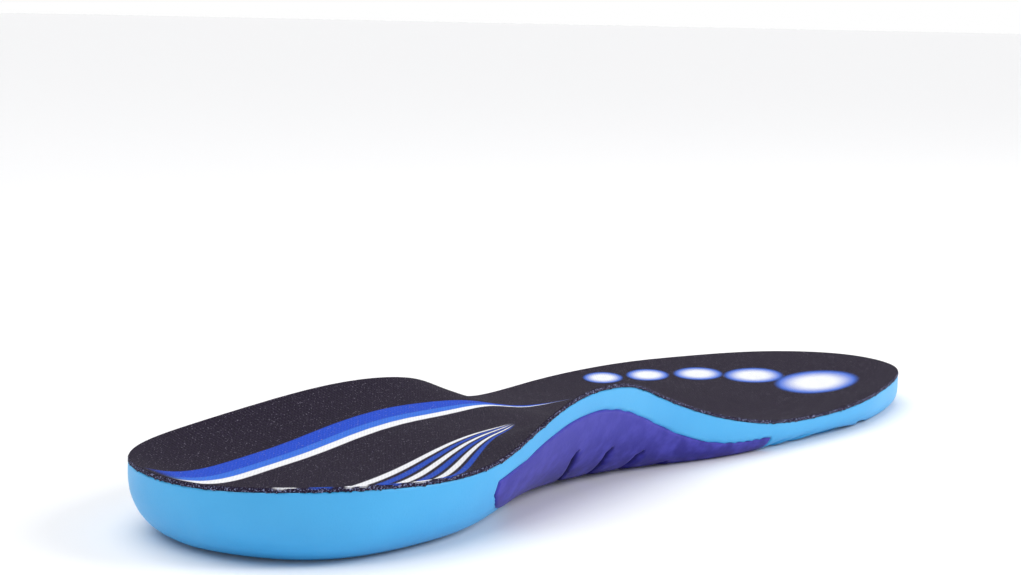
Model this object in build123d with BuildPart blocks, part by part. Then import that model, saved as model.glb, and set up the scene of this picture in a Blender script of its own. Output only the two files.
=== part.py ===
"""Cushioned insole for a left shoe: a moulded foam body with a knitted top cover,
a stiff arch shell, gel pads under the heel and the ball of the foot, and a round
cushioning disc beside the front pad.

Frame: +X from heel to toe, +Y towards the outer side of the foot, +Z up, with the
origin on the floor under the middle of the insole. All lengths are in millimetres.
"""

import os
from math import hypot, sqrt

from build123d import *

os.makedirs("parts", exist_ok=True)

# Driving dimensions
COVER_THICKNESS = 1.1
SHELL_THICKNESS = 1.5
TALLEST = 36.0
CLEAR = 1.0
OUTSIDE = 70.0
LEVELS = (0, 0.1, 0.2, 0.32, 0.44, 0.56, 0.68, 0.79, 0.9, 1)

HEEL_PAD_BOTTOM = 0.5
HEEL_PAD_TOP = 6.5
FRONT_PAD_BOTTOM = 0.4
FRONT_PAD_TOP = 3.8
DISC_BOTTOM = 0.3
DISC_TOP = 2.3
HEEL_MOAT = 2.0
FRONT_MOAT = 1.2
MOAT_DEPTH = 1.6
GROOVE_WIDTH = 1.8
GROOVE_DEPTH = 0.9

# The rim, once round from the back of the heel along the inner side of the foot.
# Each station gives x, y, the rim's height, and the width and height of the quarter
# ellipse that rounds the wall under the rim into the flat sole.
RIM = (
    (-155.0, 3.8, 18.5, 12.5, 18.5),
    (-148.0, -18.0, 18.8, 11.5, 14.0),
    (-135.5, -29.0, 18.6, 10.5, 11.0),
    (-115.0, -36.8, 17.8, 12.0, 15.0),
    (-91.0, -39.2, 19.8, 14.5, 23.0),
    (-66.5, -38.3, 27.2, 22.5, 30.5),
    (-45.0, -37.0, 29.4, 24.0, 33.5),
    (-27.0, -36.3, 27.2, 20.5, 30.0),
    (-10.0, -36.6, 21.4, 14.5, 22.0),
    (14.4, -40.8, 13.4, 7.0, 12.0),
    (42.7, -46.9, 8.8, 7.0, 9.0),
    (67.0, -50.3, 8.8, 7.0, 9.0),
    (83.0, -51.2, 9.4, 6.0, 8.0),
    (99.5, -49.9, 10.2, 5.0, 7.0),
    (116.0, -46.8, 10.8, 4.5, 6.0),
    (132.0, -41.2, 10.8, 4.0, 5.0),
    (147.5, -28.8, 10.3, 3.5, 4.0),
    (155.0, -9.6, 9.8, 3.0, 3.5),
    (147.5, 12.3, 9.2, 3.5, 4.0),
    (132.0, 28.0, 8.5, 4.0, 5.0),
    (108.0, 40.8, 7.9, 4.5, 6.0),
    (83.0, 48.4, 7.3, 5.0, 6.5),
    (56.0, 51.2, 6.6, 5.0, 6.5),
    (30.0, 49.8, 6.6, 5.0, 6.5),
    (6.3, 45.9, 10.4, 5.5, 8.0),
    (-10.0, 43.9, 16.4, 6.5, 10.0),
    (-34.0, 43.8, 20.9, 7.5, 12.0),
    (-58.0, 45.3, 21.4, 8.0, 13.0),
    (-84.0, 46.3, 20.0, 8.5, 13.0),
    (-108.0, 45.4, 18.8, 9.5, 12.0),
    (-127.4, 41.4, 18.5, 10.5, 11.5),
    (-143.7, 31.7, 18.4, 11.5, 14.0),
    (-151.8, 19.0, 18.5, 12.0, 17.0),
)

# Height of the footbed along its middle, and how far in from the rim it is reached
BED = ((-155, 12.0), (-105, 12.0), (-60, 14.0), (-20, 12.6), (10, 8.6), (40, 6.4), (90, 6.8), (155, 9.0))
BED_REACH = ((-155, 30.0), (-60, 34.0), (10, 30.0), (60, 26.0), (155, 26.0))
BED_SECTIONS = (
    -170, -160, -150, -140, -128, -112, -92, -72, -52, -32,
    -12, 8, 28, 55, 85, 115, 138, 155, 170,
)
BED_WIDTHS = (-62, -51, -41, -31, -20, -7, 7, 20, 31, 41, 51, 62)
RIM_SAMPLES = 500
CEILING = 70.0

# Inner edge of the arch shell, from its heel end to its toe end
SHELL_EDGE = (
    (-96.0, -42.5),
    (-93.1, -37.9),
    (-75.0, -27.4),
    (-58.6, -17.4),
    (-38.3, -8.0),
    (-24.0, -3.1),
    (-9.9, -0.4),
    (2.2, -2.0),
    (14.4, -9.2),
    (26.5, -23.3),
    (35.4, -43.6),
    (38.0, -50.0),
)
# Upper edge of the arch shell, seen from the side: x and height
SHELL_TOP = (
    (-110.0, 11.0),
    (-93.1, 12.7),
    (-66.5, 19.9),
    (-45.0, 22.2),
    (-27.0, 19.1),
    (-10.0, 12.5),
    (4.0, 7.4),
    (14.4, 4.9),
    (35.4, 4.0),
    (50.0, 4.2),
)
GROOVES = (
    ((-48.2, -31.1), (-32.2, -12.0)),
    ((-29.6, -30.1), (-21.8, -10.0)),
    ((-14.1, -30.6), (-14.1, -9.4)),
    ((-0.7, -30.1), (-5.9, -11.0)),
)

# Gel pads and disc
HEEL_PAD_Y = 5.5
HEEL_PAD_ENDS = ((-112.0, 23.6), (-73.8, 12.0))
HEEL_PAD_SIDE = 70.0
FRONT_PAD_LOBES = ((66.3, 13.2, 14.4), (48.9, 28.4, 11.75))
FRONT_PAD_NECK = 6.0
DISC_CENTRE = (73.9, -18.1)
DISC_RADIUS = 23.3


def value_at(knots, x):
    """Height or width at x from a few (x, value) knots, eased between them."""
    if x <= knots[0][0]:
        return knots[0][1]
    for (x0, v0), (x1, v1) in zip(knots, knots[1:]):
        if x <= x1:
            t = (x - x0) / (x1 - x0)
            return v0 + (v1 - v0) * t * t * (3 - 2 * t)
    return knots[-1][1]


def wall_inset(height, width, tall):
    """How far the rounded wall lies inside the rim at a height above the floor."""
    if height >= tall:
        return 0.0
    u = 1 - height / tall
    return width * (1 - sqrt(1 - u * u))


def inward(i):
    """Unit vector from rim station i towards the inside of the outline."""
    before, after = RIM[i - 1], RIM[(i + 1) % len(RIM)]
    dx, dy = after[0] - before[0], after[1] - before[1]
    size = hypot(dx, dy)
    return -dy / size, dx / size


def rim_ring(height, extra=0.0):
    """Points of the outer wall at one height, moved in by an extra amount."""
    points = []
    for i, (x, y, _, width, tall) in enumerate(RIM):
        nx, ny = inward(i)
        inset = wall_inset(height, width, tall) + extra
        points.append(Vector(x + nx * inset, y + ny * inset))
    return points


def rim_spacing():
    """Shares of the way round at which the stations lie, the same at every height."""
    steps = [0.0]
    for i, (x, y, *_) in enumerate(RIM):
        next_x, next_y = RIM[(i + 1) % len(RIM)][:2]
        steps.append(steps[-1] + hypot(next_x - x, next_y - y))
    return [step / steps[-1] for step in steps]


def blank(extra=0.0, lift=0.0):
    """Solid inside the outer wall, from the sole up to above the tallest rim."""
    with BuildPart() as solid:
        for share in LEVELS:
            height = TALLEST * share * share
            with BuildSketch(Plane.XY.offset(height + lift)):
                with BuildLine():
                    add(Edge.make_spline(rim_ring(height, extra), periodic=True, parameters=rim_spacing()))
                make_face()
        loft()
    return solid.part


def above_footbed(drop=0.0):
    """Space above the dished footbed, which eases from the rim's height to the bed's."""
    with BuildLine(mode=Mode.PRIVATE) as rim:
        Spline(*[(x, y, z) for x, y, z, _, _ in RIM], periodic=True)
    samples = [rim.edge().position_at(i / RIM_SAMPLES) for i in range(RIM_SAMPLES)]

    def inside(x, y):
        odd = False
        for a, b in zip(samples, samples[1:] + samples[:1]):
            if (a.Y > y) != (b.Y > y) and x < a.X + (y - a.Y) / (b.Y - a.Y) * (b.X - a.X):
                odd = not odd
        return odd

    def height(x, y):
        near = min(samples, key=lambda p: hypot(p.X - x, p.Y - y))
        distance = hypot(near.X - x, near.Y - y) * (1 if inside(x, y) else -1)
        bed = value_at(BED, x)
        share = max(0.0, 1 - distance / value_at(BED_REACH, x))
        rise = share * share if share < 1 else 2 * share - 1
        return bed + (near.Z - bed) * rise - drop

    with BuildPart() as space:
        for x in BED_SECTIONS:
            with BuildSketch(Plane.YZ.offset(x)):
                with BuildLine():
                    bed = Spline(*[(y, height(x, y)) for y in BED_WIDTHS])
                    Polyline(bed @ 1, (BED_WIDTHS[-1], CEILING), (BED_WIDTHS[0], CEILING), bed @ 0)
                make_face()
        loft()
    return space.part


def egg_sketch(grow=0.0):
    """Heel pad's egg: a blunt and a narrow end joined by two long side arcs."""
    (blunt_x, blunt_r), (narrow_x, narrow_r) = HEEL_PAD_ENDS
    gap = narrow_x - blunt_x
    to_blunt, to_narrow = HEEL_PAD_SIDE - blunt_r, HEEL_PAD_SIDE - narrow_r
    along = (to_blunt**2 - to_narrow**2 + gap**2) / (2 * gap)
    across = sqrt(to_blunt**2 - along**2)
    touch_blunt = Vector(-along, across) * ((blunt_r + grow) / to_blunt) + Vector(blunt_x, 0)
    touch_narrow = Vector(gap - along, across) * ((narrow_r + grow) / to_narrow) + Vector(narrow_x, 0)
    with BuildSketch(Plane.XY, mode=Mode.PRIVATE) as egg:
        with BuildLine():
            RadiusArc(touch_blunt, touch_narrow, HEEL_PAD_SIDE + grow)
            ThreePointArc(
                touch_narrow,
                (narrow_x + narrow_r + grow, 0),
                (touch_narrow.X, -touch_narrow.Y),
            )
            RadiusArc(
                (touch_narrow.X, -touch_narrow.Y),
                (touch_blunt.X, -touch_blunt.Y),
                HEEL_PAD_SIDE + grow,
            )
            ThreePointArc(
                (touch_blunt.X, -touch_blunt.Y),
                (blunt_x - blunt_r - grow, 0),
                touch_blunt,
            )
        make_face()
    return egg.sketch.moved(Location((0, HEEL_PAD_Y, 0)))


def figure_eight_sketch(grow=0.0):
    """Front pad's outline: two round lobes joined by a softened neck."""
    with BuildSketch(mode=Mode.PRIVATE) as eight:
        for x, y, radius in FRONT_PAD_LOBES:
            with Locations((x, y)):
                Circle(radius + grow)
        fillet(eight.sketch.vertices(), FRONT_PAD_NECK - grow)
    return eight.sketch


def shell_room():
    """Space between the shell's edges, outside the foam that it is bonded to."""
    (start_x, start_y), (end_x, end_y) = SHELL_EDGE[0], SHELL_EDGE[-1]
    (low_x, low_z), (high_x, high_z) = SHELL_TOP[0], SHELL_TOP[-1]
    with BuildPart() as room:
        with BuildSketch(Plane.XY.offset(-CLEAR)):
            with BuildLine():
                Spline(*SHELL_EDGE)
                Polyline((end_x, end_y), (end_x, -OUTSIDE), (start_x, -OUTSIDE), (start_x, start_y))
            make_face()
        extrude(amount=TALLEST)
        with BuildSketch(Plane.XZ):
            with BuildLine():
                Spline(*SHELL_TOP)
                Polyline((high_x, high_z), (high_x, -2 * CLEAR), (low_x, -2 * CLEAR), (low_x, low_z))
            make_face()
        extrude(amount=OUTSIDE, mode=Mode.INTERSECT)
        add(blank(SHELL_THICKNESS, SHELL_THICKNESS), mode=Mode.SUBTRACT)
    return room.part


outer = blank()
room = shell_room()
above_cover = above_footbed()
above_foam = above_footbed(COVER_THICKNESS)

with BuildPart() as top_cover:
    add(outer)
    add(above_cover, mode=Mode.SUBTRACT)
    add(above_foam, mode=Mode.INTERSECT)

with BuildPart() as groove_cutter:
    with BuildSketch(Plane.XY.offset(-CLEAR)):
        for groove_start, groove_end in GROOVES:
            with BuildLine():
                Line(groove_start, groove_end)
            trace(line_width=GROOVE_WIDTH)
    extrude(amount=TALLEST)
    add(blank(GROOVE_DEPTH, GROOVE_DEPTH), mode=Mode.SUBTRACT)

with BuildPart() as arch_shell:
    add(outer)
    add(room, mode=Mode.INTERSECT)
    add(groove_cutter.part, mode=Mode.SUBTRACT)

with BuildPart() as foam_body:
    add(outer)
    add(above_foam, mode=Mode.SUBTRACT)
    add(room, mode=Mode.SUBTRACT)
    with BuildSketch(Plane.XY.offset(-CLEAR)):
        add(egg_sketch(HEEL_MOAT))
        add(figure_eight_sketch(FRONT_MOAT))
    extrude(amount=CLEAR + MOAT_DEPTH, mode=Mode.SUBTRACT)
    with BuildSketch(Plane.XY.offset(-CLEAR)):
        with Locations(DISC_CENTRE):
            Circle(DISC_RADIUS)
    extrude(amount=CLEAR + DISC_TOP, mode=Mode.SUBTRACT)
    with BuildSketch(Plane.XY.offset(MOAT_DEPTH - CLEAR)):
        add(egg_sketch())
    extrude(amount=CLEAR + HEEL_PAD_TOP - MOAT_DEPTH, mode=Mode.SUBTRACT)
    with BuildSketch(Plane.XY.offset(MOAT_DEPTH - CLEAR)):
        add(figure_eight_sketch())
    extrude(amount=CLEAR + FRONT_PAD_TOP - MOAT_DEPTH, mode=Mode.SUBTRACT)

with BuildPart() as heel_gel_pad:
    with BuildSketch(Plane.XY.offset(HEEL_PAD_BOTTOM)):
        add(egg_sketch())
    extrude(amount=HEEL_PAD_TOP - HEEL_PAD_BOTTOM)

with BuildPart() as forefoot_gel_pad:
    with BuildSketch(Plane.XY.offset(FRONT_PAD_BOTTOM)):
        add(figure_eight_sketch())
    extrude(amount=FRONT_PAD_TOP - FRONT_PAD_BOTTOM)

with BuildPart() as forefoot_disc:
    with BuildSketch(Plane.XY.offset(DISC_BOTTOM)):
        with Locations(DISC_CENTRE):
            Circle(DISC_RADIUS)
        add(figure_eight_sketch(FRONT_MOAT), mode=Mode.SUBTRACT)
    extrude(amount=DISC_TOP - DISC_BOTTOM)

top_cover.part.label = "top_cover"
foam_body.part.label = "foam_body"
arch_shell.part.label = "arch_shell"
heel_gel_pad.part.label = "heel_gel_pad"
forefoot_gel_pad.part.label = "forefoot_gel_pad"
forefoot_disc.part.label = "forefoot_disc"

export_step(top_cover.part, "parts/top_cover.step")
export_step(foam_body.part, "parts/foam_body.step")
export_step(arch_shell.part, "parts/arch_shell.step")
export_step(heel_gel_pad.part, "parts/heel_gel_pad.step")
export_step(forefoot_gel_pad.part, "parts/forefoot_gel_pad.step")
export_step(forefoot_disc.part, "parts/forefoot_disc.step")
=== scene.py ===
"""Looks for the cushioned insole: foam body, arch shell, gel pads, disc and printed knit
cover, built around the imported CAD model. Shapes are worked out in millimetres and scaled to
metres when their meshes are made; the sheet, the stage, the lights and the camera are given
in metres."""

import math

import bmesh
import bpy
import numpy as np
from mathutils import Matrix, Vector
from mathutils.bvhtree import BVHTree


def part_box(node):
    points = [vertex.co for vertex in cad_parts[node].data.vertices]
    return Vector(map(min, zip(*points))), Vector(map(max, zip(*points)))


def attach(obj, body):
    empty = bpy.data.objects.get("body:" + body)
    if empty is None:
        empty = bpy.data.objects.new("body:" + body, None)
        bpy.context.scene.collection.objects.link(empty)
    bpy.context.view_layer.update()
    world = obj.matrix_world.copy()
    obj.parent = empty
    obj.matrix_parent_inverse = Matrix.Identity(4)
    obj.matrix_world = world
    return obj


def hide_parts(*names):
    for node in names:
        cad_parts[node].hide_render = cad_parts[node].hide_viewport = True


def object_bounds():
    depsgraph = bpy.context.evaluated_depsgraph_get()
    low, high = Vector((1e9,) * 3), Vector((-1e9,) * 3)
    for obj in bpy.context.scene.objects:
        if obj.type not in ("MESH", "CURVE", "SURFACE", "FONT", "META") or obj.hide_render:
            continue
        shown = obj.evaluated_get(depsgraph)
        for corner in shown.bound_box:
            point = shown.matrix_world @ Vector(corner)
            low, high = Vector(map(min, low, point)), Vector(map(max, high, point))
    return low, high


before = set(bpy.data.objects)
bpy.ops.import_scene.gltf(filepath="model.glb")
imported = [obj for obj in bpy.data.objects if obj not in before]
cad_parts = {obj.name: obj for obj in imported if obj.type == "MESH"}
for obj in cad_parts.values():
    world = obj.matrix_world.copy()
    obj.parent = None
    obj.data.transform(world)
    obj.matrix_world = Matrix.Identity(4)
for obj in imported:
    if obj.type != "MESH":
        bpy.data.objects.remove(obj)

for name in ("Cube", "Light", "Camera"):
    if name in bpy.data.objects:
        bpy.data.objects.remove(bpy.data.objects[name])
CAD_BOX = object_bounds()
MM = 0.001
BODY = "root"

# Mesh detail
STEP = 0.68
ROWS = 88
PAD_STEP = 0.42
SHELL_STEP = 0.42
WALL_LEVELS = 30
SOLE_LEVELS = 40
COVER_BACK_ROWS = 10

# Rays that look for the CAD surface start at this height, or this far out from the spine
ABOVE = 60
OUTSIDE = 85
# Every column's outline lies between these two distances from the spine
REACH_LEAST, REACH_MOST = 20.0, 75.0
RIM_INSET = 0.3
END_RADIUS = 46

# Foam underside
COVER_THICK = 1.1
SOLE_RECESS = 0.35
LOWEST_WALL = 0.06
HEEL_MOAT = 2.0
FRONT_MOAT = 1.2
MOAT_DEPTH = 1.6
LIP_WIDTH = 0.9
LIP_RECESS = 0.04
RIPPLE_DEPTH = 1.1
RIPPLE_START = 2.8
RIPPLE_PITCH = 5.9
RIPPLE_COUNT = 6
HEEL_RIPPLE_START = 6.5
HEEL_RIPPLE_PITCH = 6.4
HEEL_RIPPLE_COUNT = 4
HEEL_RIPPLE_SHARE = 0.7
TRIM_INSET = 5.9
TRIM_HEIGHT = 0.3

# Arch shell
SHELL_THICK = 1.4
GROOVES = (
    ((-48.2, -31.1), (-32.2, -12.0)),
    ((-29.6, -30.1), (-21.8, -10.0)),
    ((-14.1, -30.6), (-14.1, -9.4)),
    ((-0.7, -30.1), (-5.9, -11.0)),
)
GROOVE_HALF = 0.9
GROOVE_DEPTH = 0.9
SHELL_LIFT = 0.12
SHELL_NEAR = 0.25
SPAN_STEP = 1.2

# Gel pads: spacing of the little cones cast inside them
DOT_X = 6.8
DOT_Y = 5.8
DOT_RADIUS = 1.15
DOT_HEIGHT = 0.22
PAD_INSET = 0.12
BEAD_INSET = 1.3

# Size marks
MARK_LINE = 0.28
MARK_HEIGHT = 3.6
MARK_WIDTH = 2.7
MARK_PITCH = 4.2
MARK_Y = -11.9
OVAL_STEPS = 14


# ---------------------------------------------------------------- helpers

def tree_of(*names):
    """One search tree over the triangles of some CAD nodes, in millimetres."""
    points, faces = [], []
    for name in names:
        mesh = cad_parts[name].data
        start = len(points)
        points += [tuple(v.co / MM) for v in mesh.vertices]
        faces += [[start + i for i in p.vertices] for p in mesh.polygons]
    return BVHTree.FromPolygons(points, faces)


def smooth_step(low, high, value):
    t = np.clip((value - low) / (high - low), 0, 1)
    return t * t * (3 - 2 * t)


def smooth_round(values, times, around=True):
    """Averages each value with its neighbours, once round a closed ring."""
    for _ in range(times):
        if around:
            before, after = np.roll(values, 1, 0), np.roll(values, -1, 0)
        else:
            before = np.concatenate([values[:1], values[:-1]])
            after = np.concatenate([values[1:], values[-1:]])
        values = 0.25 * before + 0.5 * values + 0.25 * after
    return values


def bottom_outline(name):
    """Boundary of a CAD node's lowest flat face, as a closed loop of points."""
    mesh = bmesh.new()
    mesh.from_mesh(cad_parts[name].data)
    bmesh.ops.remove_doubles(mesh, verts=mesh.verts, dist=1e-6)
    low = min(v.co.z for v in mesh.verts)
    flat = {f for f in mesh.faces if all(v.co.z < low + 1e-5 for v in f.verts)}
    edges = [e for e in mesh.edges if sum(f in flat for f in e.link_faces) == 1]
    links = {}
    for e in edges:
        a, b = e.verts
        links.setdefault(a, []).append(b)
        links.setdefault(b, []).append(a)
    start = edges[0].verts[0]
    loop, last, here = [start], None, start
    while True:
        ahead = [v for v in links[here] if v != last]
        last, here = here, ahead[0]
        if here == start:
            break
        loop.append(here)
    points = np.array([v.co[:2] for v in loop]) / MM
    mesh.free()
    return points


def resample(loop, step):
    """Closed loop of points with an even spacing."""
    ring = np.vstack([loop, loop[:1]])
    along = np.concatenate([[0], np.cumsum(np.hypot(*np.diff(ring, axis=0).T))])
    count = max(12, int(round(along[-1] / step)))
    places = np.linspace(0, along[-1], count, endpoint=False)
    return np.stack([np.interp(places, along, ring[:, k]) for k in (0, 1)], 1)


def signed_distance(points, loop):
    """Distance to a closed loop, negative inside it."""
    a, b = loop, np.roll(loop, -1, 0)
    best = np.full(len(points), 1e9)
    odd = np.zeros(len(points), bool)
    x, y = points[:, 0], points[:, 1]
    for (ax, ay), (bx, by) in zip(a, b):
        dx, dy = bx - ax, by - ay
        t = np.clip(((x - ax) * dx + (y - ay) * dy) / (dx * dx + dy * dy + 1e-12), 0, 1)
        best = np.minimum(best, (x - ax - t * dx) ** 2 + (y - ay - t * dy) ** 2)
        if ay != by:
            crosses = ((ay > y) != (by > y)) & (x < ax + (y - ay) / (by - ay) * dx)
            odd ^= crosses
    return np.where(odd, -1, 1) * np.sqrt(best)


def make_piece(name, points, faces, replaces=(), values=()):
    """Mesh object from points in millimetres, riding on the body. values are numbers kept
    for each point, by name, which the materials read."""
    mesh = bpy.data.meshes.new(name)
    mesh.from_pydata([tuple(p) for p in np.asarray(points) * MM], [], faces)
    mesh.update()
    for key, numbers in dict(values).items():
        layer = mesh.attributes.new(key, "FLOAT", "POINT")
        whole = np.zeros(len(points), dtype=np.float32)
        whole[: len(numbers)] = numbers
        layer.data.foreach_set("value", whole)
    tidy = bmesh.new()
    tidy.from_mesh(mesh)
    bmesh.ops.remove_doubles(tidy, verts=tidy.verts, dist=2e-6)
    bmesh.ops.dissolve_degenerate(tidy, dist=1e-6, edges=tidy.edges)
    bmesh.ops.recalc_face_normals(tidy, faces=tidy.faces)
    tidy.to_mesh(mesh)
    tidy.free()
    piece = bpy.data.objects.new(name, mesh)
    bpy.context.scene.collection.objects.link(piece)
    mesh.polygons.foreach_set("use_smooth", [True] * len(mesh.polygons))
    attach(piece, BODY)
    if replaces:
        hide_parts(*replaces)
    return piece


# ---------------------------------------------------------------- the insole's outer surface

# Columns run out from a spine: a straight line down the middle, with a half turn at each end
box_low, box_high = (np.array(c) / MM for c in CAD_BOX)
SPINE_START = np.array([box_low[0] + 42.0, 4.0])
SPINE_END = np.array([box_high[0] - 49.0, -5.0])


def column_frames():
    """Where each column starts on the spine and which way it points, once round."""
    along = SPINE_END - SPINE_START
    length = np.hypot(*along)
    along = along / length
    across = np.array([along[1], -along[0]])
    side = int(length / STEP)
    ends = int(math.pi * END_RADIUS / STEP)
    starts, ways = [], []
    for k in range(side):
        starts.append(SPINE_START + along * length * k / side)
        ways.append(across)
    for k in range(ends):
        turn = math.pi * k / ends
        starts.append(SPINE_END)
        ways.append(across * math.cos(turn) + along * math.sin(turn))
    for k in range(side):
        starts.append(SPINE_END - along * length * k / side)
        ways.append(-across)
    for k in range(ends):
        turn = math.pi * k / ends
        starts.append(SPINE_START)
        ways.append(-across * math.cos(turn) - along * math.sin(turn))
    return np.array(starts), np.array(ways)


STARTS, WAYS = column_frames()
COLUMNS = len(STARTS)
cover_tree = tree_of("top_cover")
solid_tree = tree_of("top_cover", "foam_body", "arch_shell")
shell_tree = tree_of("arch_shell")


def down_hit(tree, x, y):
    return tree.ray_cast(Vector((x, y, ABOVE)), Vector((0, 0, -1)))[0]


def rim_reach():
    """How far each column runs from the spine to the outline."""
    reach = []
    for start, way in zip(STARTS, WAYS):
        inner, outer = REACH_LEAST, REACH_MOST
        for _ in range(16):
            middle = (inner + outer) / 2
            x, y = start + way * middle
            if down_hit(cover_tree, x, y) is None:
                outer = middle
            else:
                inner = middle
        reach.append(inner)
    return smooth_round(np.array(reach), 3)


def rim_height():
    """Height of the cover at its rim, read as near the edge as a ray still meets it."""
    heights = []
    for start, way, reach in zip(STARTS, WAYS, REACH):
        hit, inset = None, RIM_INSET
        while hit is None:
            hit = down_hit(cover_tree, *(start + way * (reach - inset)))
            inset += RIM_INSET
        heights.append(hit.z)
    return smooth_round(np.array(heights), 4)


REACH = rim_reach()
RIM_Z = rim_height()


def wall_profiles():
    """Outer surface of each column as a line from under the cover down to the sole and
    in to the spine: distances from the spine, and heights."""
    shares = (1 - np.linspace(0, 1, WALL_LEVELS)) ** 1.7
    reach = np.zeros((COLUMNS, WALL_LEVELS))
    height = np.zeros((COLUMNS, WALL_LEVELS))
    for c in range(COLUMNS):
        start, way = STARTS[c], WAYS[c]
        inward = Vector((-way[0], -way[1], 0))
        top = RIM_Z[c] - COVER_THICK
        for k, share in enumerate(shares):
            z = max(LOWEST_WALL, top * share)
            x, y = start + way * OUTSIDE
            hit = solid_tree.ray_cast(Vector((x, y, min(z, top - 0.05))), inward)[0]
            reach[c, k] = (Vector((hit.x, hit.y)) - Vector(start)).length
            height[c, k] = z
    reach = smooth_round(reach, 3)
    fractions = 1 - np.arange(1, SOLE_LEVELS + 1) / SOLE_LEVELS
    reach = np.hstack([reach, reach[:, -1:] * fractions])
    height = np.hstack([height, np.zeros((COLUMNS, SOLE_LEVELS))])
    return reach, height


PROFILE_R, PROFILE_Z = wall_profiles()


def even_rows(count):
    """Each column's profile with evenly spaced rows, and how far each level of PROFILE_R and
    PROFILE_Z is from the rim, along the surface."""
    steps = np.hypot(np.diff(PROFILE_R, axis=1), np.diff(PROFILE_Z, axis=1))
    along = np.hstack([np.zeros((COLUMNS, 1)), np.cumsum(steps, 1)])
    rows = np.linspace(0, 1, count)
    reach = np.zeros((COLUMNS, count))
    height = np.zeros((COLUMNS, count))
    for c in range(COLUMNS):
        places = rows * along[c, -1]
        reach[c] = np.interp(places, along[c], PROFILE_R[c])
        height[c] = np.interp(places, along[c], PROFILE_Z[c])
    return reach, height, along


ROW_R, ROW_Z, PROFILE_L = even_rows(ROWS)


def on_profile(c, length):
    """Point of column c at a distance from the rim, measured along the surface."""
    r = np.interp(length, PROFILE_L[c], PROFILE_R[c])
    z = np.interp(length, PROFILE_L[c], PROFILE_Z[c])
    x, y = STARTS[c] + WAYS[c] * r
    return x, y, z


def surface_grid(reach, height):
    """Points of the outer surface, by column and row."""
    plan = STARTS[:, None, :] + WAYS[:, None, :] * reach[:, :, None]
    return np.dstack([plan, height])


def grid_normals(grid, around=True):
    """Outward normals of a grid of points, rows running from the rim to the spine."""
    if around:
        d_col = np.roll(grid, -1, 0) - np.roll(grid, 1, 0)
    else:
        d_col = np.gradient(grid, axis=0)
    d_row = np.gradient(grid, axis=1)
    normal = np.cross(d_row, d_col)
    size = np.linalg.norm(normal, axis=2, keepdims=True)
    return normal / np.maximum(size, 1e-9)


# ---------------------------------------------------------------- arch shell's place

def shell_spans():
    """For each column that the shell crosses, where it starts and ends on the profile."""
    spans = {}

    def on_shell(c, length):
        x, y, z = on_profile(c, length)
        distance = shell_tree.find_nearest(Vector((x, y, z)))[3]
        return distance < SHELL_NEAR

    for c in range(COLUMNS):
        # The shell is on the inner side only
        if WAYS[c][1] > -0.5:
            continue
        total = PROFILE_L[c, -1]
        tests = np.arange(0.5, total, SPAN_STEP)
        hits = [t for t in tests if on_shell(c, t)]
        if not hits:
            continue
        ends = []
        first, last = hits[0], hits[-1]
        for inside, outside in ((first, first - SPAN_STEP), (last, last + SPAN_STEP)):
            for _ in range(10):
                middle = (inside + outside) / 2
                if on_shell(c, middle):
                    inside = middle
                else:
                    outside = middle
            ends.append(inside)
        spans[c] = ends
    return spans


SPANS = shell_spans()
SHELL_COLUMNS = sorted(SPANS)
upper = smooth_round(np.array([SPANS[c][0] for c in SHELL_COLUMNS]), 8, around=False)
inner_end = smooth_round(np.array([SPANS[c][1] for c in SHELL_COLUMNS]), 8, around=False)
upper_edge = np.array([on_profile(c, v) for c, v in zip(SHELL_COLUMNS, upper)])
inner_edge = np.array([on_profile(c, v) for c, v in zip(SHELL_COLUMNS, inner_end)])


def distance_to_line(points, line):
    """Least distance from points to an open line of 3-D points."""
    best = np.full(len(points), 1e9)
    for a, b in zip(line[:-1], line[1:]):
        along = b - a
        t = np.clip((points - a) @ along / (along @ along + 1e-12), 0, 1)
        off = points - a - t[:, None] * along
        best = np.minimum(best, np.einsum("ij,ij->i", off, off))
    return np.sqrt(best)


def shell_distance(grid):
    """Distance to the shell's edge over the foam's grid, negative under the shell, and
    whether the nearest edge is the free inner one."""
    count = grid.shape[1]
    flat = grid.reshape(-1, 3)
    to_upper = distance_to_line(flat, upper_edge[::3])
    to_inner = distance_to_line(flat, inner_edge[::3])
    distance = np.minimum(to_upper, to_inner).reshape(grid.shape[:2])
    under = np.zeros(grid.shape[:2], bool)
    rows = np.linspace(0, 1, count)
    for c, top, end in zip(SHELL_COLUMNS, upper, inner_end):
        places = rows * PROFILE_L[c, -1]
        under[c] = (places > top) & (places < end)
    near_inner = (to_inner < to_upper).reshape(grid.shape[:2])
    return np.where(under, -distance, distance), near_inner


# ---------------------------------------------------------------- foam underside relief

EGG = resample(bottom_outline("heel_gel_pad"), 1.2)
EIGHT = resample(bottom_outline("forefoot_gel_pad"), 0.8)
disc_low, disc_high = (np.array(c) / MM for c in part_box("forefoot_disc"))
DISC_R = (disc_high[0] - disc_low[0]) / 2
DISC_C = np.array([(disc_low[0] + disc_high[0]) / 2, disc_low[1] + DISC_R])
heel_low, heel_high = (np.array(c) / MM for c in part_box("heel_gel_pad"))
front_high = np.array(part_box("forefoot_gel_pad")[1]) / MM

# The heel's ripples are arcs, counted outwards from this radius at the pad's front end
HEEL_ARC_R = 30.0
HEEL_ARC_X = heel_high[0] - HEEL_ARC_R
HEEL_ARC_Y = (heel_low[1] + heel_high[1]) / 2


def shingle(distance, first, pitch, count):
    """Recess of rounded shingles round a source: each rises outwards to a sharp lip."""
    turn = (distance - first) / pitch
    share = turn - np.floor(turn)
    depth = RIPPLE_DEPTH * (1 - share) ** 1.2 * smooth_step(0.0, 0.14, share)
    inside = (turn > 0) & (turn < count)
    beyond = turn >= count
    fade = np.exp(-np.maximum(turn - count, 0) * 1.6)
    return np.where(inside, depth, np.where(beyond, RIPPLE_DEPTH * 0.62 * fade, 0.0))


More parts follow.
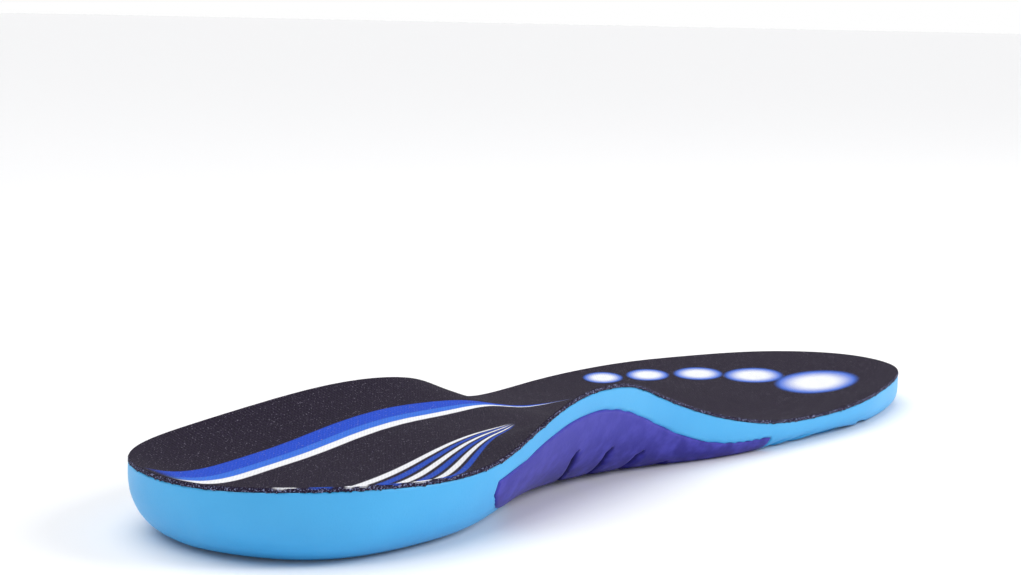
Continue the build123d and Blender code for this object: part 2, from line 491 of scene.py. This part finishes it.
def foam_relief(plan, shell, near_inner, rim_distance):
    """How deep each point of the underside is pressed in from the moulded surface. shell is
    the distance to the arch shell's edge, negative under it."""
    egg = signed_distance(plan, EGG)
    eight = signed_distance(plan, EIGHT)
    disc = np.hypot(*(plan - DISC_C).T) - DISC_R
    front = np.minimum(disc - 0.4, eight - FRONT_MOAT + 0.6)
    x, y = plan.T

    # Slightly sunk sole, inside the rounded wall
    sole = smooth_step(7.0, 13.0, rim_distance)
    relief = SOLE_RECESS * sole

    # Ripples round the front pad and disc
    pitch = RIPPLE_PITCH - 0.5 * smooth_step(60, 90, x)
    rings = shingle(front, RIPPLE_START, pitch, RIPPLE_COUNT)
    off_shell = smooth_step(1.6, 2.4, shell)
    edge = smooth_step(1.5, 4.0, rim_distance)
    inside_trim = smooth_step(TRIM_INSET, TRIM_INSET + 0.7, rim_distance)
    toe_border = np.where(x > 95, inside_trim, 1)
    relief = np.maximum(relief, rings * off_shell * edge * toe_border)

    # Ripple arcs in front of the heel pad, narrower further out
    heel_turn = np.hypot(x - HEEL_ARC_X, (y - HEEL_ARC_Y) * 0.92) - HEEL_ARC_R
    angle = np.degrees(np.arctan2(y - HEEL_ARC_Y, x - HEEL_ARC_X))
    spread = 66 - 2.2 * np.clip(heel_turn, 0, 30)
    window = smooth_step(spread + 4, spread - 8, np.abs(angle + 4))
    arcs = shingle(heel_turn, HEEL_RIPPLE_START, HEEL_RIPPLE_PITCH, HEEL_RIPPLE_COUNT)
    heel_ripple_end = HEEL_RIPPLE_START + HEEL_RIPPLE_PITCH * HEEL_RIPPLE_COUNT
    arcs = np.where(heel_turn < heel_ripple_end, arcs, 0)
    heel_depth = arcs * HEEL_RIPPLE_SHARE + SOLE_RECESS
    relief = np.maximum(relief, heel_depth * window * off_shell * sole)

    # Heel pad: raised lip, moat, then the pocket that the pad fills
    lip = smooth_step(HEEL_MOAT + LIP_WIDTH + 0.9, HEEL_MOAT + LIP_WIDTH - 0.2, egg)
    relief = relief * (1 - lip) + LIP_RECESS * lip
    moat = smooth_step(HEEL_MOAT + 0.7, HEEL_MOAT - 0.5, egg)
    relief = np.maximum(relief, MOAT_DEPTH * moat)
    relief = np.maximum(relief, heel_high[2] * smooth_step(-0.2, -1.2, egg))

    # Front pad and disc: one lip round both, and a moat round the pad alone
    lip = smooth_step(2.7, 1.5, front)
    relief = relief * (1 - lip) + LIP_RECESS * lip
    relief = np.maximum(relief, disc_high[2] * smooth_step(0.7, -0.3, disc))
    moat = smooth_step(FRONT_MOAT + 0.6, FRONT_MOAT - 0.5, eight)
    relief = np.maximum(relief, MOAT_DEPTH * moat)
    relief = np.maximum(relief, front_high[2] * smooth_step(-0.2, -1.2, eight))

    # Trim line at the toe: a raised line with a shallow groove on its outer side
    trim = np.exp(-((rim_distance - TRIM_INSET) / 0.42) ** 2)
    groove = np.exp(-((rim_distance - TRIM_INSET + 0.85) / 0.5) ** 2)
    at_toe = smooth_step(92, 97, x)
    relief = relief + at_toe * (TRIM_HEIGHT * groove - TRIM_HEIGHT * trim)

    # Pocket under the shell, with a seam at its edge and a plain lip along the inner one
    under = smooth_step(0.1, -0.9, shell) * (SHELL_THICK + 0.15)
    seam = np.exp(-((shell - 0.15) / 0.3) ** 2) * 0.35
    rim_lip = np.exp(-((shell - 1.1) / 0.55) ** 2)
    relief = np.where(shell > 0.45, relief * (1 - np.where(near_inner, rim_lip, 0)), relief)
    relief = np.where(shell < 0.45, np.maximum(under, seam), relief)
    return relief


def triangles(columns, rows, depth, around=True):
    """Two triangles for each cell of a grid, split along the diagonal that crosses the
    least relief."""
    faces = []
    last = columns if around else columns - 1
    for c in range(last):
        d = (c + 1) % columns
        for r in range(rows - 1):
            a, b = c * rows + r, d * rows + r
            if abs(depth[a] - depth[b + 1]) <= abs(depth[b] - depth[a + 1]):
                faces.append((a, b, b + 1))
                faces.append((a, b + 1, a + 1))
            else:
                faces.append((a, b, a + 1))
                faces.append((b, b + 1, a + 1))
    return faces


def build_foam():
    """Moulded body: relief on the underside and walls, and a plain face under the cover."""
    grid = surface_grid(ROW_R, ROW_Z)
    normals = grid_normals(grid)
    rim_distance = (REACH[:, None] - ROW_R).reshape(-1)
    flat = grid.reshape(-1, 3)
    gap, near_inner = shell_distance(grid)
    relief = foam_relief(flat[:, :2], gap.reshape(-1), near_inner.reshape(-1), rim_distance)
    points = flat - normals.reshape(-1, 3) * relief[:, None]
    points[:, 2] = np.maximum(points[:, 2], 0.0)
    faces = triangles(COLUMNS, ROWS, relief)

    # Upper side, hidden under the cover: a coarser grid that shares the rim
    start = len(points)
    top = []
    for c in range(COLUMNS):
        for k in range(1, COVER_BACK_ROWS + 1):
            r = REACH[c] * (1 - k / COVER_BACK_ROWS)
            x, y = STARTS[c] + WAYS[c] * r
            top.append((x, y, down_hit(cover_tree, x, y).z - COVER_THICK))
    points = np.vstack([points, np.array(top)])
    for c in range(COLUMNS):
        d = (c + 1) % COLUMNS
        ring = [(c * ROWS, d * ROWS)]
        first, second = start + c * COVER_BACK_ROWS, start + d * COVER_BACK_ROWS
        ring += [(first + k, second + k) for k in range(COVER_BACK_ROWS)]
        for (a, b), (e, f) in zip(ring, ring[1:]):
            faces.append((a, e, f, b))
    # Painted shade: the foam is marked darker where the relief is pressed deep, in the moats,
    # ripples and shell pocket
    painted_recess_shade = smooth_step(0.7, 1.5, relief)
    return make_piece("foam_body_moulded", points, faces, ["foam_body"], {"painted_recess_shade": painted_recess_shade})


foam = build_foam()


# ---------------------------------------------------------------- knit cover

def build_cover():
    """Thin closed skin: printed face, cut edge and hidden back. The first three rows turn
    over the cut edge, and the first one is slightly frayed."""
    edge_drops = (0.45, 0.12, 0.02)
    turned = len(edge_drops)
    insets = np.concatenate([[0.0, 0.12, 0.4, 1.0], np.linspace(2.0, 20.0, 14)])
    centre = np.linspace(0, 1, 16)[1:]
    rows = len(insets) + len(centre)
    rng = np.random.default_rng(5)
    fuzz = smooth_round(rng.normal(0, 0.22, COLUMNS), 1)
    frayed = rng.normal(0, 0.16, COLUMNS)
    face, back = [], []
    for c in range(COLUMNS):
        start, way, reach = STARTS[c], WAYS[c], REACH[c]
        rest = reach - insets[-1]
        places = np.concatenate([reach - insets, rest * (1 - centre)])
        for k, r in enumerate(places):
            x, y = start + way * min(r, reach - 0.25)
            hit = None if k < turned else down_hit(cover_tree, x, y)
            z = hit.z if hit else RIM_Z[c]
            x, y = start + way * (r + (0.05 + fuzz[c] * 0.4 if k == 0 else 0.0))
            drop = edge_drops[k] if k < turned else 0.0
            face.append((x, y, z - drop))
            back.append((x, y, z - COVER_THICK + (0.1 + frayed[c] if k == 0 else 0.03)))
    face, back = np.array(face), np.array(back)
    heights = face[:, 2].reshape(COLUMNS, rows)
    face[:, 2] = smooth_round(heights, 2).reshape(-1)
    back[:, 2] = np.minimum(back[:, 2], face[:, 2] - 0.5)
    points = np.vstack([face, back])
    start = len(face)
    faces = []
    for c in range(COLUMNS):
        d = (c + 1) % COLUMNS
        faces.append((c * rows, d * rows, start + d * rows, start + c * rows))
        for r in range(rows - 1):
            a, b = c * rows + r, d * rows + r
            faces.append((a, a + 1, b + 1, b))
            faces.append((start + a, start + b, start + b + 1, start + a + 1))
    return make_piece("top_cover_knit", points, faces, ["top_cover"])


cover = build_cover()


# ---------------------------------------------------------------- arch shell

def build_shell():
    """Moulded shell with rounded edges and four grooves in its face."""
    first, last = SHELL_COLUMNS[0], SHELL_COLUMNS[-1]
    count = int((last - first) * STEP / SHELL_STEP)
    across = int(np.mean(inner_end - upper) / SHELL_STEP)
    places = np.linspace(0, len(SHELL_COLUMNS) - 1, count)
    grid = np.zeros((count, across, 3))
    for k, place in enumerate(places):
        i = min(int(place), len(SHELL_COLUMNS) - 2)
        t = place - i
        for j, share in enumerate(np.linspace(0, 1, across)):
            ends = []
            for n in (i, i + 1):
                length = upper[n] + (inner_end[n] - upper[n]) * share
                ends.append(on_profile(SHELL_COLUMNS[n], length))
            grid[k, j] = np.array(ends[0]) * (1 - t) + np.array(ends[1]) * t
    normals = grid_normals(grid, around=False)
    flat = grid.reshape(-1, 3)
    loop = np.vstack([grid[:, 0], grid[-1, 1:], grid[::-1, -1], grid[::-1][-1:, ::-1][0][1:]])
    edge = distance_to_line(flat, loop[::2])
    depth = 0.55 * (1 - np.sqrt(np.clip(1 - (1 - np.clip(edge / 0.9, 0, 1)) ** 2, 0, 1)))
    x, y = flat[:, 0], flat[:, 1]
    # Painted shade: the grooves are marked so that the material darkens them
    painted_recess_shade = np.zeros(len(flat))
    for (ax, ay), (bx, by) in GROOVES:
        dx, dy = bx - ax, by - ay
        t = np.clip(((x - ax) * dx + (y - ay) * dy) / (dx * dx + dy * dy), 0, 1)
        off = np.hypot(x - ax - t * dx, y - ay - t * dy)
        cut = smooth_step(GROOVE_HALF + 0.1, GROOVE_HALF - 0.5, off)
        depth = np.maximum(depth, GROOVE_DEPTH * cut)
        painted_recess_shade = np.maximum(painted_recess_shade, cut)
    outer = flat - normals.reshape(-1, 3) * (depth - SHELL_LIFT)[:, None]
    inner = flat - normals.reshape(-1, 3) * SHELL_THICK
    outer[:, 2] = np.maximum(outer[:, 2], 0.05)
    inner[:, 2] = np.maximum(inner[:, 2], 0.6)
    points = np.vstack([outer, inner])
    start = len(outer)
    faces = triangles(count, across, depth, around=False)
    for c in range(count - 1):
        for r in range(across - 1):
            a, b = c * across + r, (c + 1) * across + r
            faces.append((start + a, start + a + 1, start + b + 1, start + b))
    rim = [(c * across, (c + 1) * across) for c in range(count - 1)]
    rim += [((c + 1) * across + across - 1, c * across + across - 1) for c in range(count - 1)]
    rim += [(r + 1, r) for r in range(across - 1)]
    rim += [((count - 1) * across + r, (count - 1) * across + r + 1) for r in range(across - 1)]
    for a, b in rim:
        faces.append((a, start + a, start + b, b))
    return make_piece("arch_shell_moulded", points, faces, ["arch_shell"],
                      {"painted_recess_shade": painted_recess_shade})


shell = build_shell()


# ---------------------------------------------------------------- gel pads and disc

def build_pad(name, node, centre, dots, bead):
    """Pad with a rounded edge, drawn as rings between its outline and its centre."""
    loop = resample(bottom_outline(node), PAD_STEP)
    centre = np.array(centre)
    away = loop - centre
    size = np.hypot(*away.T)
    loop = centre + away * (1 - PAD_INSET / size)[:, None]
    rings = int(size.max() / PAD_STEP)
    shares = 1 - np.linspace(0, 1, rings)
    plan = centre + (loop - centre)[None] * shares[:, None, None]
    flat = plan.reshape(-1, 2)
    low, high = (np.array(c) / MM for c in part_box(node))
    inside = -signed_distance(flat, loop)
    round_over = 0.5 * (1 - np.sqrt(np.clip(1 - (1 - np.clip(inside, 0, 1)) ** 2, 0, 1)))
    raised = bead * np.exp(-((inside - BEAD_INSET) / 0.7) ** 2)
    dot = np.zeros(len(flat))
    if dots:
        for shift in (0.0, 0.5):
            u = (flat[:, 0] / DOT_X + shift) % 1 - 0.5
            v = (flat[:, 1] / DOT_Y + shift) % 1 - 0.5
            off = np.hypot(u * DOT_X, v * DOT_Y)
            dot = np.maximum(dot, smooth_step(DOT_RADIUS + 0.35, DOT_RADIUS - 0.45, off))
        dot *= smooth_step(1.8, 3.0, inside)
    z = low[2] + round_over - raised - DOT_HEIGHT * dot
    count = len(loop)
    points = [tuple(p) + (h,) for p, h in zip(flat, z)]
    top = high[2] - 0.05
    points += [(p[0], p[1], top) for p in loop]
    points.append((centre[0], centre[1], top))
    faces = []
    roof = rings * count
    for i in range(count):
        j = (i + 1) % count
        for r in range(rings - 1):
            a, b = r * count + i, r * count + j
            faces.append((a, a + count, b + count, b))
        faces.append((i, j, roof + j, roof + i))
        faces.append((roof + i, roof + j, roof + count))
    values = {"dot": dot, "inside": inside}
    return make_piece(name, points, faces, [node], values)


heel_centre = (-104.0, 6.0)
front_centre = (57.6, 20.8)
heel_gel = build_pad("heel_gel_domed", "heel_gel_pad", heel_centre, True, 0.25)
front_gel = build_pad("forefoot_gel_domed", "forefoot_gel_pad", front_centre, True, 0.2)
disc = build_pad("forefoot_disc_pressed", "forefoot_disc", DISC_C, False, 0.1)


# ---------------------------------------------------------------- size marks at the toe

def round_stroke(low, high, width):
    """Closed oval between two heights of a digit."""
    middle, tall = (low + high) / 2, (high - low) / 2
    turns = [2 * math.pi * k / OVAL_STEPS for k in range(OVAL_STEPS + 1)]
    return [(0.5 + width * math.sin(t), middle + tall * math.cos(t)) for t in turns]


DIGITS = {
    "4": [[(0.75, 0.0), (0.75, 1.0), (0.0, 0.32), (1.0, 0.32)]],
    "7": [[(0.0, 1.0), (1.0, 1.0), (0.35, 0.0)]],
    "8": [round_stroke(0.0, 0.54, 0.5), round_stroke(0.54, 1.0, 0.4)],
}


def build_size_marks():
    """Raised plain digits of the two trimming sizes, one each side of the trim line."""
    line = bpy.data.curves.new("size_marks_line", "CURVE")
    line.dimensions = "3D"
    line.bevel_depth = MARK_LINE * MM
    line.bevel_resolution = 2
    sole = BVHTree.FromObject(foam, bpy.context.evaluated_depsgraph_get())
    for text, x in (("47", 142.0), ("48", 149.8)):
        for k, digit in enumerate(text):
            for stroke in DIGITS[digit]:
                spline = line.splines.new("POLY")
                spline.points.add(len(stroke) - 1)
                for point, (u, v) in zip(spline.points, stroke):
                    y = MARK_Y + k * MARK_PITCH + u * MARK_WIDTH
                    under = Vector((x + v * MARK_HEIGHT, y, -5.0)) * MM
                    spot = sole.ray_cast(under, Vector((0, 0, 1)))[0]
                    point.co = (spot.x, spot.y, max(spot.z, 0.3 * MM), 1.0)
    holder = bpy.data.objects.new("size_marks_line", line)
    mesh = bpy.data.meshes.new_from_object(holder)
    points = np.array([v.co for v in mesh.vertices]) / MM
    faces = [tuple(p.vertices) for p in mesh.polygons]
    bpy.data.objects.remove(holder)
    return make_piece("size_marks", points, faces)


marks = build_size_marks()


# ---------------------------------------------------------------- materials

class Nodes:
    """Short names for the few node kinds that the materials use."""

    # Millimetres that a float curve spans, along and across
    CURVE_LENGTH = 400
    CURVE_HEIGHT = 200

    def __init__(self, piece, name, **values):
        material = bpy.data.materials.new(name)
        material.use_nodes = True
        self.tree = material.node_tree
        self.shader = self.tree.nodes["Principled BSDF"]
        for key, value in values.items():
            self.shader.inputs[key.replace("_", " ")].default_value = value
        piece.data.materials.append(material)

    def link(self, value, socket):
        if isinstance(value, bpy.types.NodeSocket):
            self.tree.links.new(value, socket)
        else:
            socket.default_value = value

    def math(self, kind, a, b=0.0):
        node = self.tree.nodes.new("ShaderNodeMath")
        node.operation = kind
        self.link(a, node.inputs[0])
        self.link(b, node.inputs[1])
        return node.outputs[0]

    def ramp(self, value, low, high):
        """0 below low, 1 above high, smooth between."""
        node = self.tree.nodes.new("ShaderNodeMapRange")
        node.interpolation_type = "SMOOTHSTEP"
        self.link(value, node.inputs["Value"])
        self.link(low, node.inputs["From Min"])
        self.link(high, node.inputs["From Max"])
        return node.outputs["Result"]

    def mix(self, share, a, b):
        node = self.tree.nodes.new("ShaderNodeMix")
        node.data_type = "RGBA"
        self.link(share, node.inputs[0])
        self.link(a, node.inputs[6])
        self.link(b, node.inputs[7])
        return node.outputs[2]

    def place(self):
        """Object coordinates in millimetres: x, y, z, and the vector itself."""
        spot = self.tree.nodes.new("ShaderNodeTexCoord").outputs["Object"]
        scale = self.tree.nodes.new("ShaderNodeVectorMath")
        scale.operation = "SCALE"
        scale.inputs["Scale"].default_value = 1000.0
        self.tree.links.new(spot, scale.inputs[0])
        parts = self.tree.nodes.new("ShaderNodeSeparateXYZ")
        self.tree.links.new(scale.outputs[0], parts.inputs[0])
        return (*parts.outputs, scale.outputs[0])

    def noise(self, vector, scale, detail=2.0):
        node = self.tree.nodes.new("ShaderNodeTexNoise")
        node.inputs["Scale"].default_value = scale
        node.inputs["Detail"].default_value = detail
        self.tree.links.new(vector, node.inputs["Vector"])
        return node.outputs["Fac"]

    def value(self, name):
        node = self.tree.nodes.new("ShaderNodeAttribute")
        node.attribute_name = name
        return node.outputs["Fac"]

    def curve(self, value, points):
        """Smooth line through points (x, y) in millimetres, read at value."""
        share = self.math("MULTIPLY_ADD", value, 1 / self.CURVE_LENGTH)
        share.node.inputs[2].default_value = 0.5
        node = self.tree.nodes.new("ShaderNodeFloatCurve")
        line = node.mapping.curves[0]
        line.points[0].location = (0.0, points[0][1] / self.CURVE_HEIGHT + 0.5)
        line.points[1].location = (1.0, points[-1][1] / self.CURVE_HEIGHT + 0.5)
        for x, y in points:
            line.points.new(x / self.CURVE_LENGTH + 0.5, y / self.CURVE_HEIGHT + 0.5)
        node.mapping.update()
        self.link(share, node.inputs["Value"])
        height = self.math("SUBTRACT", node.outputs[0], 0.5)
        return self.math("MULTIPLY", height, float(self.CURVE_HEIGHT))

    def bump(self, height, strength, distance):
        node = self.tree.nodes.new("ShaderNodeBump")
        node.inputs["Strength"].default_value = strength
        node.inputs["Distance"].default_value = distance
        self.link(height, node.inputs["Height"])
        self.tree.links.new(node.outputs["Normal"], self.shader.inputs["Normal"])

    def colour(self, value):
        self.link(value, self.shader.inputs["Base Color"])


def rgb(red, green, blue):
    """A colour as it looks on a screen, made linear for the shader."""
    return tuple((c / 255 / 12.92) if c < 11 else ((c / 255 + 0.055) / 1.055) ** 2.4
                 for c in (red, green, blue)) + (1.0,)


# Plain ovals under the toes: centre x and y, half length, half width, turn in degrees
TOE_OVALS = (
    (76.0, 36.0, 8.5, 6.0, 25),
    (89.0, 27.0, 9.0, 6.5, 25),
    (101.0, 15.0, 10.0, 7.5, 25),
    (109.0, -1.0, 11.5, 9.0, 20),
    (110.0, -23.0, 18.0, 12.0, 12),
)
# A plain striped band along the footbed, and a fan of even stripes beside it
BAND_LINE = ((-152, 16.0), (-100, 21.0), (-40, 23.0), (44, 24.0))
BAND_START, BAND_END = -140.0, 40.0
# Offsets from the band's middle line, and colour
BAND_STRIPES = (
    (1.0, 6.0, (34, 78, 205)),
    (-2.0, 1.0, (58, 118, 228)),
    (-5.0, -2.0, (250, 251, 255)),
)
FAN_TIP = (-26.0, 1.0)
FAN_SLOPES = (-0.46, -0.12)
FAN_COLOURS = ((34, 78, 190), (246, 247, 252))
FAN_STRIPES = 6


def knit_material(piece):
    m = Nodes(piece, "knit", Roughness=0.95, Sheen_Weight=0.05, Specular_IOR_Level=0.1)
    x, y, _, spot = m.place()
    fine = m.noise(spot, 1.6)
    base = m.mix(fine, rgb(14, 9, 22), rgb(42, 31, 56))

    def between(value, low, high, soft):
        """1 from low to high, 0 outside, with soft edges."""
        return m.math("MULTIPLY", m.ramp(value, low - soft, low + soft),
                      m.ramp(value, high + soft, high - soft))

    off = m.math("SUBTRACT", y, m.curve(x, BAND_LINE))
    off = m.math("DIVIDE", off, m.math("MAXIMUM", m.ramp(x, BAND_END, BAND_END - 90), 0.05))
    ends = m.math("MULTIPLY", m.ramp(x, BAND_START - 10, BAND_START),
                  m.ramp(x, BAND_END, BAND_END - 20))
    for low, high, paint in BAND_STRIPES:
        stripe = m.math("MULTIPLY", between(off, low, high, 0.2), ends)
        base = m.mix(stripe, base, rgb(*paint))

    run = m.math("SUBTRACT", FAN_TIP[0], x)
    rise = m.math("SUBTRACT", y, FAN_TIP[1])
    slope = m.math("DIVIDE", rise, m.math("MAXIMUM", run, 4.0))
    spread = m.ramp(run, 4.0, 12.0)
    pitch = (FAN_SLOPES[1] - FAN_SLOPES[0]) / FAN_STRIPES
    for k in range(FAN_STRIPES):
        low = FAN_SLOPES[0] + pitch * k
        stripe = between(slope, low, low + pitch * 0.62, 0.004)
        paint = FAN_COLOURS[k % len(FAN_COLOURS)]
        base = m.mix(m.math("MULTIPLY", stripe, spread), base, rgb(*paint))

    for cx, cy, half_length, half_width, turn in TOE_OVALS:
        cos, sin = math.cos(math.radians(turn)), math.sin(math.radians(turn))
        px = m.math("SUBTRACT", x, cx)
        py = m.math("SUBTRACT", y, cy)
        along = m.math("ADD", m.math("MULTIPLY", px, cos / half_length),
                       m.math("MULTIPLY", py, sin / half_length))
        across = m.math("SUBTRACT", m.math("MULTIPLY", py, cos / half_width),
                        m.math("MULTIPLY", px, sin / half_width))
        size = m.math("SQRT", m.math("ADD", m.math("MULTIPLY", along, along),
                                     m.math("MULTIPLY", across, across)))
        base = m.mix(m.ramp(size, 1.12, 0.9), base, rgb(62, 112, 222))
        base = m.mix(m.ramp(size, 1.02, 0.4), base, rgb(248, 250, 255))

    # Pale lint, and looser fibres where the cut edge faces sideways
    lint = m.ramp(m.noise(spot, 2.6, 0.0), 0.74, 0.80)
    base = m.mix(m.math("MULTIPLY", lint, 0.5), base, rgb(170, 165, 185))
    normal = m.tree.nodes.new("ShaderNodeNewGeometry").outputs["True Normal"]
    parts = m.tree.nodes.new("ShaderNodeSeparateXYZ")
    m.tree.links.new(normal, parts.inputs[0])
    cut = m.ramp(parts.outputs[2], 0.75, 0.4)
    fibres = m.mix(m.ramp(m.noise(spot, 2.6), 0.5, 0.72), rgb(34, 26, 48), rgb(134, 140, 178))
    # Knit: fine ribs along the foot, each broken into loops
    ribs = m.math("SINE", m.math("MULTIPLY", y, 2 * math.pi / 0.95))
    turn = m.math("MULTIPLY", m.math("SIGN", ribs), 1.1)
    loops = m.math("SINE", m.math("ADD", m.math("MULTIPLY", x, 2 * math.pi / 1.25), turn))
    knit = m.math("MULTIPLY", m.math("ABSOLUTE", ribs), m.ramp(loops, -1.4, 0.8))
    # Painted shade: the low gaps between the knit loops are darkened
    painted_gap_shade = m.math("MULTIPLY", m.math("SUBTRACT", 1.0, knit), 0.2)
    base = m.mix(painted_gap_shade, base, rgb(8, 5, 14))
    m.colour(m.mix(cut, base, fibres))
    fuzz = m.math("MULTIPLY", m.noise(spot, 2.2), 0.8)
    m.bump(m.math("ADD", knit, fuzz), 0.6, 0.0003)


def foam_material(*owners):
    m = Nodes(owners[0], "foam_blue", Roughness=0.42, Specular_IOR_Level=0.45)
    spot = m.place()[-1]
    body = m.mix(m.noise(spot, 0.05), rgb(52, 158, 220), rgb(72, 176, 232))
    # Painted shade: deep moats, ripples and the shell pocket are mixed towards a dark blue
    m.colour(m.mix(m.math("MULTIPLY", m.value("painted_recess_shade"), 0.75), body, rgb(8, 78, 120)))
    m.bump(m.noise(spot, 2.4), 0.25, 0.0002)
    for owner in owners[1:]:
        owner.data.materials.append(owners[0].data.materials[0])


def shell_material(piece):
    m = Nodes(piece, "arch_violet", Roughness=0.45, Specular_IOR_Level=0.22)
    _, _, z, spot = m.place()
    # Painted light and shade: the shell is lighter towards its top and darker low down
    body = m.mix(m.ramp(z, 0.0, 21.0), rgb(40, 34, 130), rgb(58, 54, 160))
    mottle = m.mix(m.ramp(m.noise(spot, 0.25), 0.35, 0.75), body, rgb(66, 62, 168))
    # Painted shade: the grooves are mixed towards a deep violet
    m.colour(m.mix(m.value("painted_recess_shade"), mottle, rgb(16, 12, 66)))
    m.bump(m.noise(spot, 1.5), 0.15, 0.0002)


def gel_material(piece):
    m = Nodes(piece, "amber_gel", Roughness=0.2, Coat_Weight=0.5, Coat_Roughness=0.08)
    body = m.mix(m.value("dot"), rgb(240, 172, 4), rgb(255, 214, 70))
    m.colour(m.mix(m.ramp(m.value("inside"), 2.2, 1.6), body, rgb(250, 218, 22)))


def disc_material(piece):
    m = Nodes(piece, "disc_blue", Roughness=0.6, Specular_IOR_Level=0.3)
    spot = m.place()[-1]
    body = m.mix(m.noise(spot, 1.2), rgb(14, 66, 160), rgb(26, 98, 205))
    inside = m.value("inside")
    ring = m.math("MULTIPLY", m.ramp(inside, 0.5, 0.8), m.ramp(inside, 1.4, 1.1))
    m.colour(m.mix(ring, body, rgb(70, 150, 225)))
    m.bump(m.noise(spot, 2.6), 0.4, 0.0003)


knit_material(cover)
foam_material(foam, marks)
shell_material(shell)
gel_material(heel_gel)
gel_material(front_gel)
disc_material(disc)


# ---------------------------------------------------------------- floor, light and camera

scene = bpy.context.scene
FLOOR_HALF, FLOOR_Z = 60.0, -0.00005
floor_mesh = bpy.data.meshes.new("floor")
around = ((-1, -1), (1, -1), (1, 1), (-1, 1))
corners = [(u * FLOOR_HALF, v * FLOOR_HALF, FLOOR_Z) for u, v in around]
floor_mesh.from_pydata(corners, [], [(0, 1, 2, 3)])
floor = bpy.data.objects.new("floor", floor_mesh)
scene.collection.objects.link(floor)
Nodes(floor, "floor_pale", Base_Color=(0.9, 0.9, 0.91, 1.0), Roughness=0.9)

KEY_PLACE = Vector((0.5, -1.0, 0.75))
KEY_TARGET = Vector((0.0, 0.0, 0.01))
lamp = bpy.data.lights.new("key", "AREA")
lamp.energy = 9.0
lamp.size = 0.6
key = bpy.data.objects.new("key", lamp)
scene.collection.objects.link(key)
key.location = KEY_PLACE
key.rotation_euler = (KEY_PLACE - KEY_TARGET).to_track_quat("Z", "Y").to_euler()

overhead = bpy.data.lights.new("overhead", "SUN")
overhead.energy = 2.25
overhead.angle = math.radians(70)
sun = bpy.data.objects.new("overhead", overhead)
scene.collection.objects.link(sun)
sun.rotation_euler = (math.radians(-12), math.radians(-10), 0.0)

# White surroundings near the horizon, dimmer overhead, by direction alone
world = bpy.data.worlds.new("studio")
world.use_nodes = True
sky = world.node_tree
ground = sky.nodes["Background"]
ground.inputs["Color"].default_value = (1.0, 1.0, 1.0, 1.0)
way_up = sky.nodes.new("ShaderNodeSeparateXYZ")
sky.links.new(sky.nodes.new("ShaderNodeTexCoord").outputs["Generated"], way_up.inputs[0])
fall = sky.nodes.new("ShaderNodeMapRange")
fall.inputs["From Min"].default_value = 0.2
fall.inputs["From Max"].default_value = 0.35
fall.inputs["To Min"].default_value = 1.0
fall.inputs["To Max"].default_value = 0.3
sky.links.new(way_up.outputs["Z"], fall.inputs["Value"])
sky.links.new(fall.outputs["Result"], ground.inputs["Strength"])
scene.world = world
scene.view_settings.view_transform = "Standard"

CAMERA_PLACE = (-0.485011, -0.300287, 0.120094)
CAMERA_SWING, CAMERA_RISE, CAMERA_ROLL = (math.radians(a) for a in (-56.41, 7.39, 1.14))
lens = bpy.data.cameras.new("camera")
lens.lens = 72.767
lens.sensor_width = 36.0
lens.clip_start = 0.01
camera = bpy.data.objects.new("camera", lens)
scene.collection.objects.link(camera)
back = Vector((math.sin(CAMERA_SWING) * math.cos(CAMERA_RISE),
               -math.cos(CAMERA_SWING) * math.cos(CAMERA_RISE), math.sin(CAMERA_RISE)))
level = Vector((math.cos(CAMERA_SWING), math.sin(CAMERA_SWING), 0.0))
upright = back.cross(level)
right = level * math.cos(CAMERA_ROLL) + upright * math.sin(CAMERA_ROLL)
up = upright * math.cos(CAMERA_ROLL) - level * math.sin(CAMERA_ROLL)
turned = Matrix((right, up, back)).transposed().to_4x4()
camera.matrix_world = Matrix.Translation(CAMERA_PLACE) @ turned
scene.camera = camera
